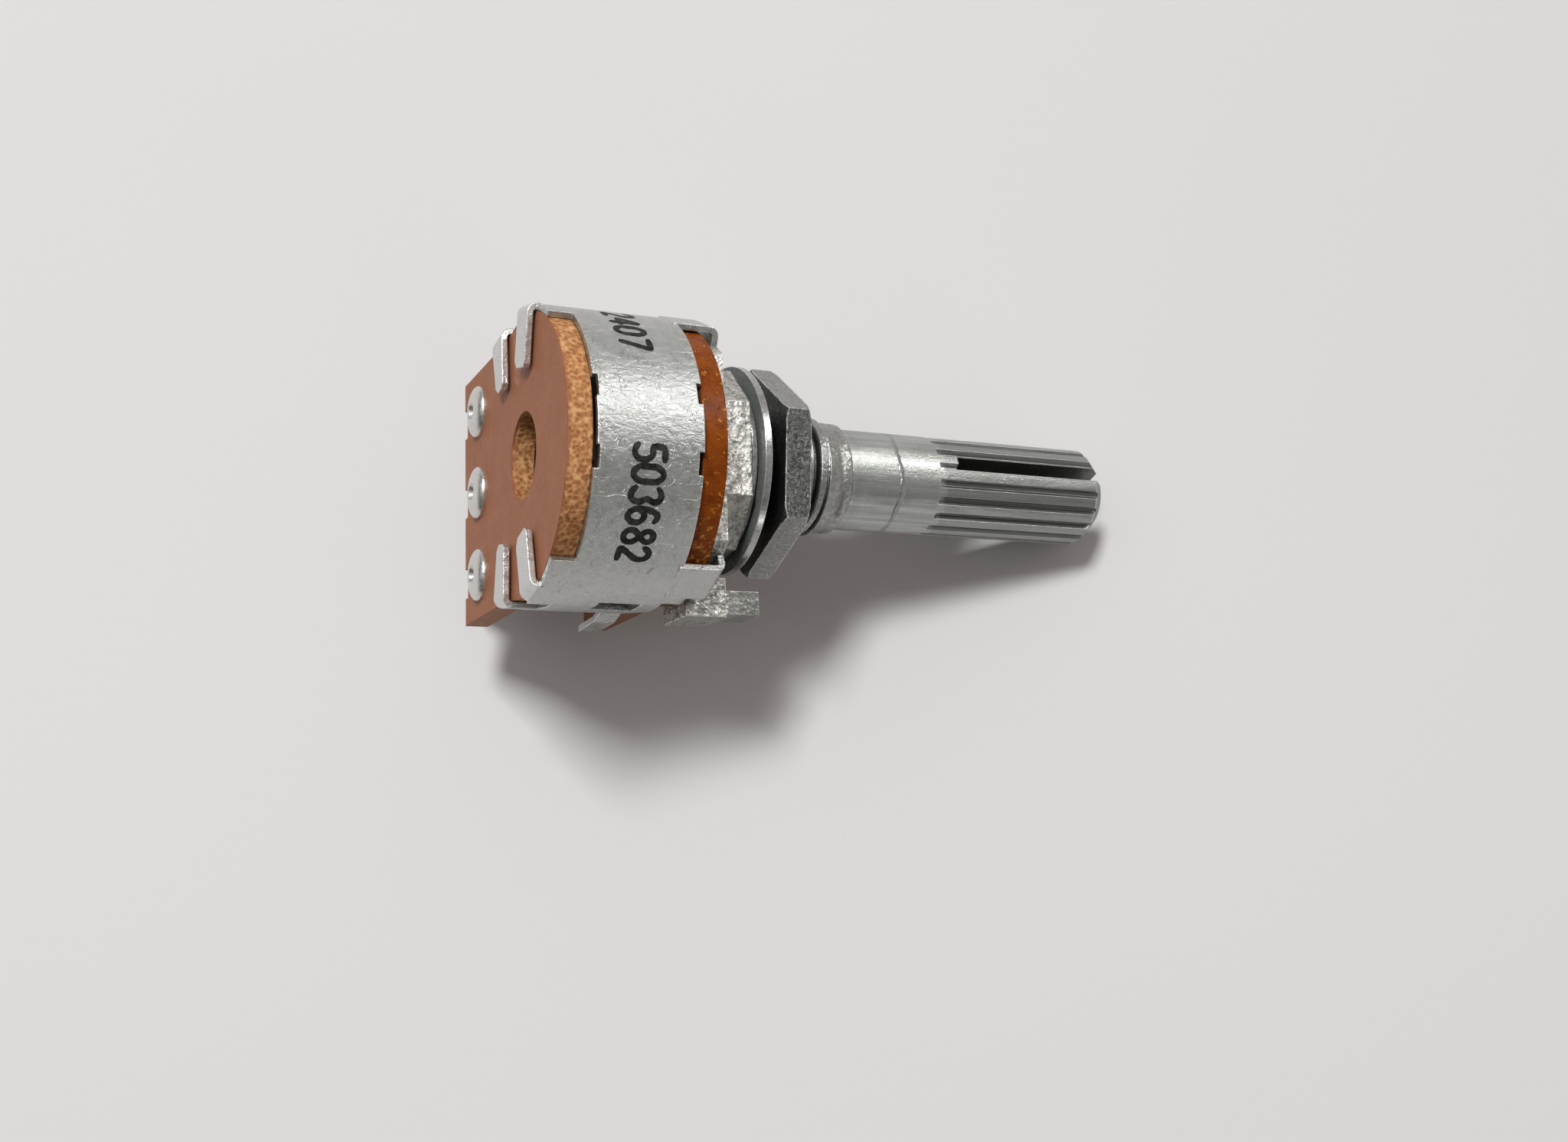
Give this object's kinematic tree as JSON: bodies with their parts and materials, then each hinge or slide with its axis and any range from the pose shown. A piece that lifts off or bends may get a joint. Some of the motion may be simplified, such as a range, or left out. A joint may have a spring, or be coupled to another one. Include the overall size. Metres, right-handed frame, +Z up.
{
  "type": "rotary potentiometer",
  "caption": "Stacked panel-mount rotary potentiometer with a folded metal can, resin wafers, solder pins, threaded bushing, hexagon nut, washer and a slotted, splined shaft.",
  "frame": {"origin": "centre of the mounting face, the front of the seat ring round the bushing, on the shaft's axis", "axes": "+X along the shaft towards its tip, +Z up, away from the solder pins, +Y to the side away from the locating lug"},
  "size_m": [0.0373, 0.0171, 0.0243],
  "materials": {
    "cast_zinc": "as cast, slightly rough",
    "nut_steel": "plated, rough",
    "dark_steel": "plated, smooth",
    "tinplate": "tinned sheet with fine scratches",
    "glossy_resin": "glossy resin laminate",
    "matte_resin": "matte resin laminate",
    "tinned_metal": "tinned, bright",
    "carbon_print": "matte printed carbon",
    "silver_print": "printed silver",
    "shaft_metal": "satin, turned",
    "rotor_plastic": "moulded, matte",
    "spring_bronze": "rolled sheet"
  },
  "bodies": {
    "body": {"front_housing": "cast_zinc", "hex_nut": "nut_steel", "flat_washer": "dark_steel", "can": "tinplate", "front_wafer": "glossy_resin", "rear_wafer": "matte_resin", "front_rivets": "tinned_metal", "rear_rivets": "tinned_metal", "front_terminal_1": "tinned_metal", "front_terminal_2": "tinned_metal", "front_terminal_3": "tinned_metal", "rear_terminal_1": "tinned_metal", "rear_terminal_2": "tinned_metal", "rear_terminal_3": "tinned_metal", "front_resistive_track": "carbon_print", "front_collector_ring": "silver_print", "rear_resistive_track": "carbon_print", "rear_collector_ring": "silver_print"},
    "rotor": {"shaft": "shaft_metal", "front_rotor": "rotor_plastic", "rear_rotor": "rotor_plastic", "front_wiper": "spring_bronze", "rear_wiper": "spring_bronze"}
  },
  "joints": [
    {"name": "shaft_turn", "type": "hinge", "parent": "body", "child": "rotor", "pos_m": [0, 0, 0], "axis": [1, 0, 0], "range_deg": [-150, 150]}
  ]
}
